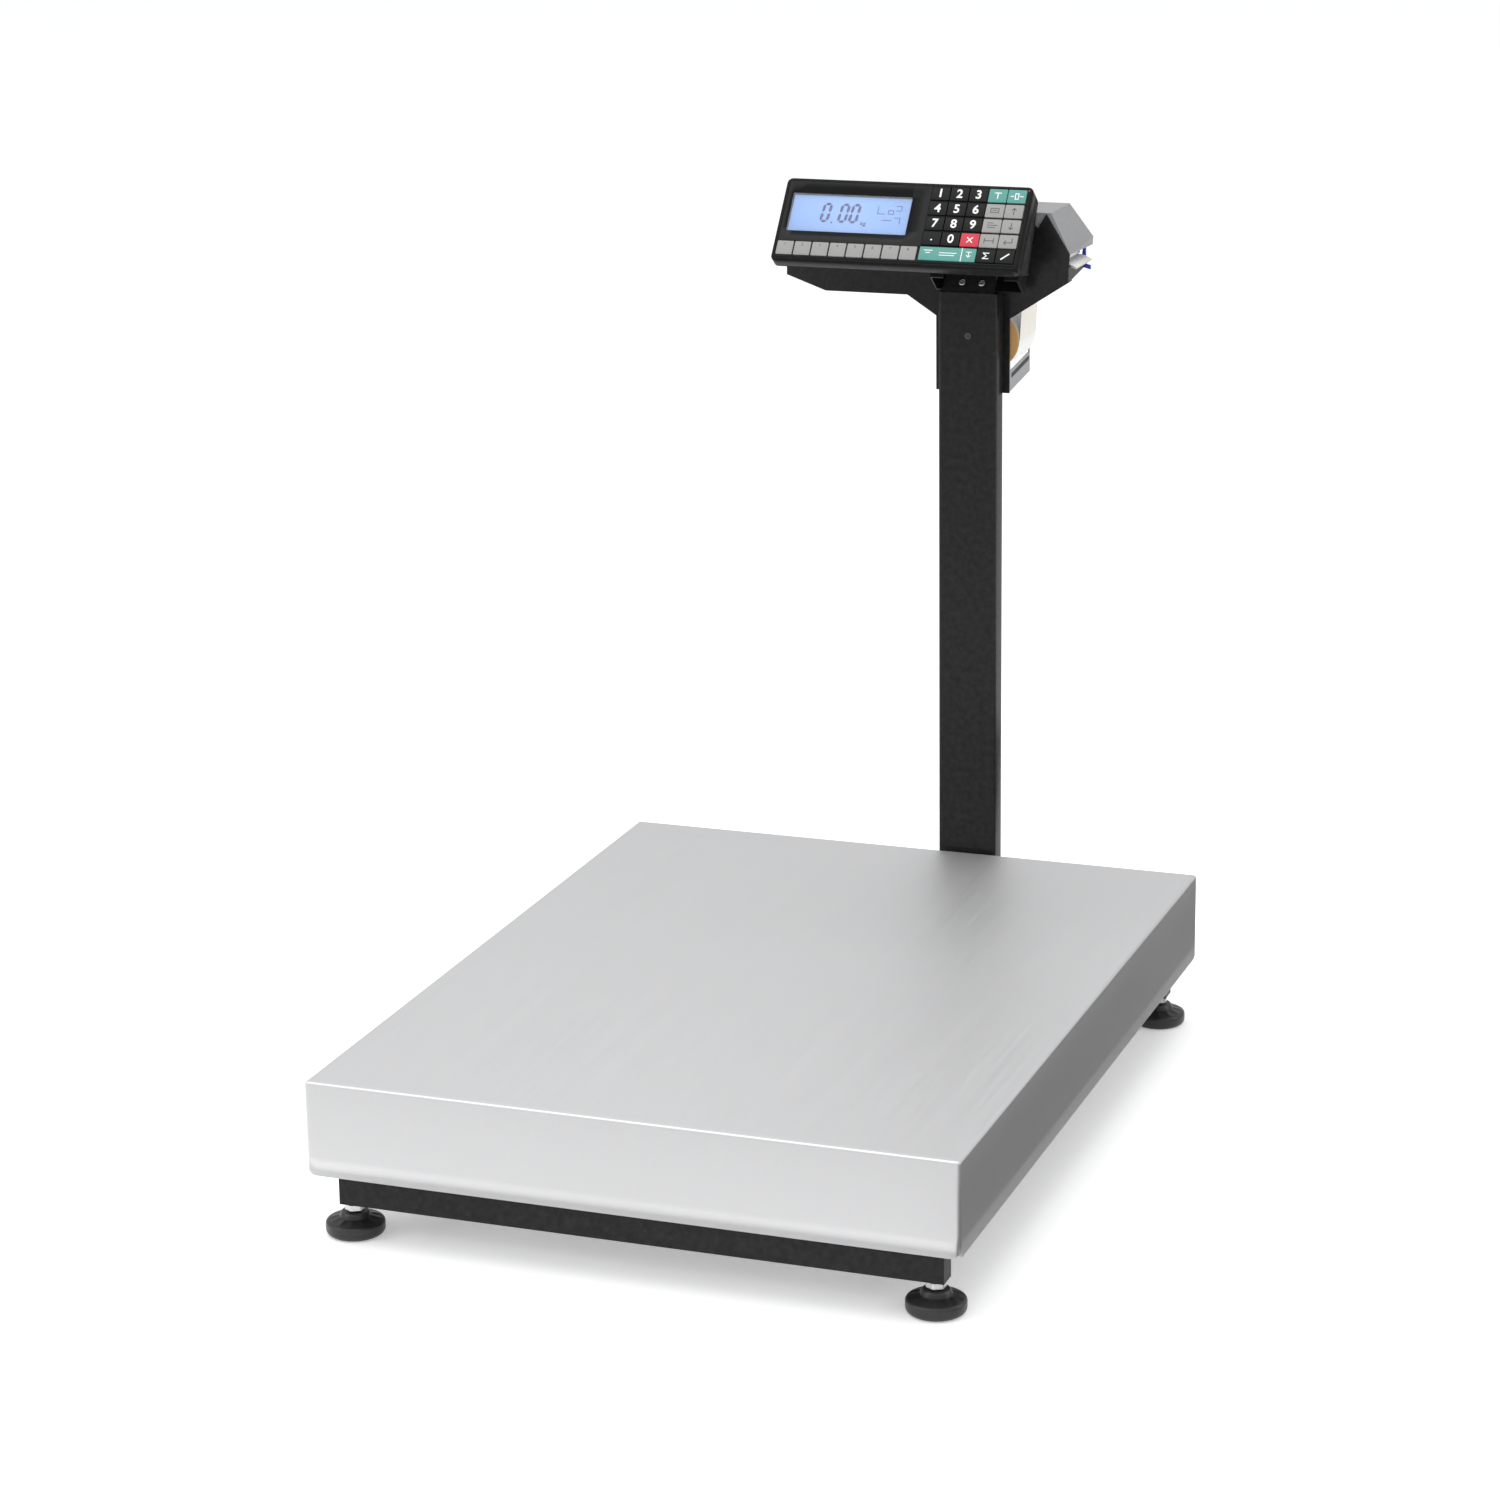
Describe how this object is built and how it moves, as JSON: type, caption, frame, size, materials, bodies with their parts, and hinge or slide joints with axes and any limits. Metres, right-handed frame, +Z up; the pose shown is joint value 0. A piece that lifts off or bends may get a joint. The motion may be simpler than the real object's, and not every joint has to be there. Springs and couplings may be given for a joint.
{
  "type": "label printing scale",
  "caption": "Floor platform scale with a folded steel pan on levelling feet, a rear column, a tilted keypad terminal and a roll label printer behind it.",
  "frame": {"origin": "under the middle of the whole outline, on the floor", "axes": "+Z up, +Y from the operator towards the column, +X to the right of the operator"},
  "size_m": [0.6, 0.9082, 0.83],
  "materials": {
    "stainless": "brushed",
    "black_paint": "fine textured powder coat",
    "black_plastic": "fine moulded grain",
    "rubber": "matt",
    "aluminium": "machined",
    "zinc": "zinc plated",
    "grey_plastic": "fine moulded grain",
    "blue_plastic": "satin",
    "clear": "polished",
    "lcd": "lit from behind",
    "board": "solder resist",
    "grey_key": "printed film",
    "green_key": "printed film",
    "red_key": "printed film",
    "black_key": "printed film",
    "paper": "coated paper"
  },
  "bodies": {
    "stand": {"base_frame": "black_paint", "column": "black_paint", "column_bracket": "black_paint", "cover_pin": "zinc", "display_panel": "lcd", "display_window": "clear", "feed_motor": "zinc", "head_frame": "black_paint", "keypad_board": "board", "label_web": "paper", "load_cell": "aluminium", "load_frame": "black_paint", "power_inlet": "black_plastic", "print_head": "aluminium", "roll_guard": "zinc", "roll_keeper": "black_plastic", "roll_spindle": "black_plastic", "terminal_back": "black_plastic", "terminal_bezel": "black_plastic", "terminal_saddle": "black_paint"},
    "platform": {"platform_cover": "stainless"},
    "cover": {"printer_cover": "grey_plastic"},
    "lever": {"release_lever": "blue_plastic"},
    "roll": {"label_roll": "paper"},
    "platen": {"platen_roller": "rubber"},
    "foot_front_left": {"foot_front_left": "rubber"},
    "foot_front_right": {"foot_front_right": "rubber"},
    "foot_back_left": {"foot_back_left": "rubber"},
    "foot_back_right": {"foot_back_right": "rubber"},
    "key_f1": {"key_f1": "grey_key"},
    "key_f2": {"key_f2": "grey_key"},
    "key_f3": {"key_f3": "grey_key"},
    "key_f4": {"key_f4": "grey_key"},
    "key_f5": {"key_f5": "grey_key"},
    "key_f6": {"key_f6": "grey_key"},
    "key_f7": {"key_f7": "grey_key"},
    "key_f8": {"key_f8": "grey_key"},
    "key_1": {"key_1": "black_key"},
    "key_2": {"key_2": "black_key"},
    "key_3": {"key_3": "black_key"},
    "key_4": {"key_4": "black_key"},
    "key_5": {"key_5": "black_key"},
    "key_6": {"key_6": "black_key"},
    "key_7": {"key_7": "black_key"},
    "key_8": {"key_8": "black_key"},
    "key_9": {"key_9": "black_key"},
    "key_0": {"key_0": "black_key"},
    "key_dot": {"key_dot": "black_key"},
    "key_clear": {"key_clear": "red_key"},
    "key_tare": {"key_tare": "green_key"},
    "key_zero": {"key_zero": "green_key"},
    "key_code": {"key_code": "grey_key"},
    "key_up": {"key_up": "grey_key"},
    "key_menu": {"key_menu": "grey_key"},
    "key_down": {"key_down": "grey_key"},
    "key_mode": {"key_mode": "grey_key"},
    "key_enter": {"key_enter": "grey_key"},
    "key_total": {"key_total": "black_key"},
    "key_label": {"key_label": "black_key"},
    "key_print": {"key_print": "green_key"}
  },
  "joints": [
    {"name": "pan_lift", "type": "slide", "parent": "stand", "child": "platform", "axis": [0, 0, 1], "range_m": [0, 0.1]},
    {"name": "cover_hinge", "type": "hinge", "parent": "stand", "child": "cover", "pos_m": [0.084, 0, 0.758], "axis": [0, -1, 0], "range_deg": [0, 75]},
    {"name": "lever_turn", "type": "hinge", "parent": "stand", "child": "lever", "pos_m": [0.136, 0, 0.7455], "axis": [0, 1, 0], "range_deg": [0, 35]},
    {"name": "label_roll_spin", "type": "hinge", "parent": "stand", "child": "roll", "pos_m": [0.072, 0, 0.6725], "axis": [0, 1, 0], "continuous": true},
    {"name": "platen_spin", "type": "hinge", "parent": "stand", "child": "platen", "pos_m": [0.136, 0, 0.7455], "axis": [0, 1, 0], "continuous": true},
    {"name": "foot_front_left_height", "type": "slide", "parent": "stand", "child": "foot_front_left", "axis": [0, 0, -1], "range_m": [0, 0.012]},
    {"name": "foot_front_right_height", "type": "slide", "parent": "stand", "child": "foot_front_right", "axis": [0, 0, -1], "range_m": [0, 0.012]},
    {"name": "foot_back_left_height", "type": "slide", "parent": "stand", "child": "foot_back_left", "axis": [0, 0, -1], "range_m": [0, 0.012]},
    {"name": "foot_back_right_height", "type": "slide", "parent": "stand", "child": "foot_back_right", "axis": [0, 0, -1], "range_m": [0, 0.012]},
    {"name": "press_key_f1", "type": "slide", "parent": "stand", "child": "key_f1", "axis": [0, 0.788, -0.6157], "range_m": [0, 0.0006], "stiffness_N_per_m": 3000},
    {"name": "press_key_f2", "type": "slide", "parent": "stand", "child": "key_f2", "axis": [0, 0.788, -0.6157], "range_m": [0, 0.0006], "stiffness_N_per_m": 3000},
    {"name": "press_key_f3", "type": "slide", "parent": "stand", "child": "key_f3", "axis": [0, 0.788, -0.6157], "range_m": [0, 0.0006], "stiffness_N_per_m": 3000},
    {"name": "press_key_f4", "type": "slide", "parent": "stand", "child": "key_f4", "axis": [0, 0.788, -0.6157], "range_m": [0, 0.0006], "stiffness_N_per_m": 3000},
    {"name": "press_key_f5", "type": "slide", "parent": "stand", "child": "key_f5", "axis": [0, 0.788, -0.6157], "range_m": [0, 0.0006], "stiffness_N_per_m": 3000},
    {"name": "press_key_f6", "type": "slide", "parent": "stand", "child": "key_f6", "axis": [0, 0.788, -0.6157], "range_m": [0, 0.0006], "stiffness_N_per_m": 3000},
    {"name": "press_key_f7", "type": "slide", "parent": "stand", "child": "key_f7", "axis": [0, 0.788, -0.6157], "range_m": [0, 0.0006], "stiffness_N_per_m": 3000},
    {"name": "press_key_f8", "type": "slide", "parent": "stand", "child": "key_f8", "axis": [0, 0.788, -0.6157], "range_m": [0, 0.0006], "stiffness_N_per_m": 3000},
    {"name": "press_key_1", "type": "slide", "parent": "stand", "child": "key_1", "axis": [0, 0.788, -0.6157], "range_m": [0, 0.0006], "stiffness_N_per_m": 3000},
    {"name": "press_key_2", "type": "slide", "parent": "stand", "child": "key_2", "axis": [0, 0.788, -0.6157], "range_m": [0, 0.0006], "stiffness_N_per_m": 3000},
    {"name": "press_key_3", "type": "slide", "parent": "stand", "child": "key_3", "axis": [0, 0.788, -0.6157], "range_m": [0, 0.0006], "stiffness_N_per_m": 3000},
    {"name": "press_key_4", "type": "slide", "parent": "stand", "child": "key_4", "axis": [0, 0.788, -0.6157], "range_m": [0, 0.0006], "stiffness_N_per_m": 3000},
    {"name": "press_key_5", "type": "slide", "parent": "stand", "child": "key_5", "axis": [0, 0.788, -0.6157], "range_m": [0, 0.0006], "stiffness_N_per_m": 3000},
    {"name": "press_key_6", "type": "slide", "parent": "stand", "child": "key_6", "axis": [0, 0.788, -0.6157], "range_m": [0, 0.0006], "stiffness_N_per_m": 3000},
    {"name": "press_key_7", "type": "slide", "parent": "stand", "child": "key_7", "axis": [0, 0.788, -0.6157], "range_m": [0, 0.0006], "stiffness_N_per_m": 3000},
    {"name": "press_key_8", "type": "slide", "parent": "stand", "child": "key_8", "axis": [0, 0.788, -0.6157], "range_m": [0, 0.0006], "stiffness_N_per_m": 3000},
    {"name": "press_key_9", "type": "slide", "parent": "stand", "child": "key_9", "axis": [0, 0.788, -0.6157], "range_m": [0, 0.0006], "stiffness_N_per_m": 3000},
    {"name": "press_key_0", "type": "slide", "parent": "stand", "child": "key_0", "axis": [0, 0.788, -0.6157], "range_m": [0, 0.0006], "stiffness_N_per_m": 3000},
    {"name": "press_key_dot", "type": "slide", "parent": "stand", "child": "key_dot", "axis": [0, 0.788, -0.6157], "range_m": [0, 0.0006], "stiffness_N_per_m": 3000},
    {"name": "press_key_clear", "type": "slide", "parent": "stand", "child": "key_clear", "axis": [0, 0.788, -0.6157], "range_m": [0, 0.0006], "stiffness_N_per_m": 3000},
    {"name": "press_key_tare", "type": "slide", "parent": "stand", "child": "key_tare", "axis": [0, 0.788, -0.6157], "range_m": [0, 0.0006], "stiffness_N_per_m": 3000},
    {"name": "press_key_zero", "type": "slide", "parent": "stand", "child": "key_zero", "axis": [0, 0.788, -0.6157], "range_m": [0, 0.0006], "stiffness_N_per_m": 3000},
    {"name": "press_key_code", "type": "slide", "parent": "stand", "child": "key_code", "axis": [0, 0.788, -0.6157], "range_m": [0, 0.0006], "stiffness_N_per_m": 3000},
    {"name": "press_key_up", "type": "slide", "parent": "stand", "child": "key_up", "axis": [0, 0.788, -0.6157], "range_m": [0, 0.0006], "stiffness_N_per_m": 3000},
    {"name": "press_key_menu", "type": "slide", "parent": "stand", "child": "key_menu", "axis": [0, 0.788, -0.6157], "range_m": [0, 0.0006], "stiffness_N_per_m": 3000},
    {"name": "press_key_down", "type": "slide", "parent": "stand", "child": "key_down", "axis": [0, 0.788, -0.6157], "range_m": [0, 0.0006], "stiffness_N_per_m": 3000},
    {"name": "press_key_mode", "type": "slide", "parent": "stand", "child": "key_mode", "axis": [0, 0.788, -0.6157], "range_m": [0, 0.0006], "stiffness_N_per_m": 3000},
    {"name": "press_key_enter", "type": "slide", "parent": "stand", "child": "key_enter", "axis": [0, 0.788, -0.6157], "range_m": [0, 0.0006], "stiffness_N_per_m": 3000},
    {"name": "press_key_total", "type": "slide", "parent": "stand", "child": "key_total", "axis": [0, 0.788, -0.6157], "range_m": [0, 0.0006], "stiffness_N_per_m": 3000},
    {"name": "press_key_label", "type": "slide", "parent": "stand", "child": "key_label", "axis": [0, 0.788, -0.6157], "range_m": [0, 0.0006], "stiffness_N_per_m": 3000},
    {"name": "press_key_print", "type": "slide", "parent": "stand", "child": "key_print", "axis": [0, 0.788, -0.6157], "range_m": [0, 0.0006], "stiffness_N_per_m": 3000}
  ],
  "couplings": [
    {"joint": "platen_spin", "follows": "label_roll_spin", "ratio": -4.0714}
  ]
}
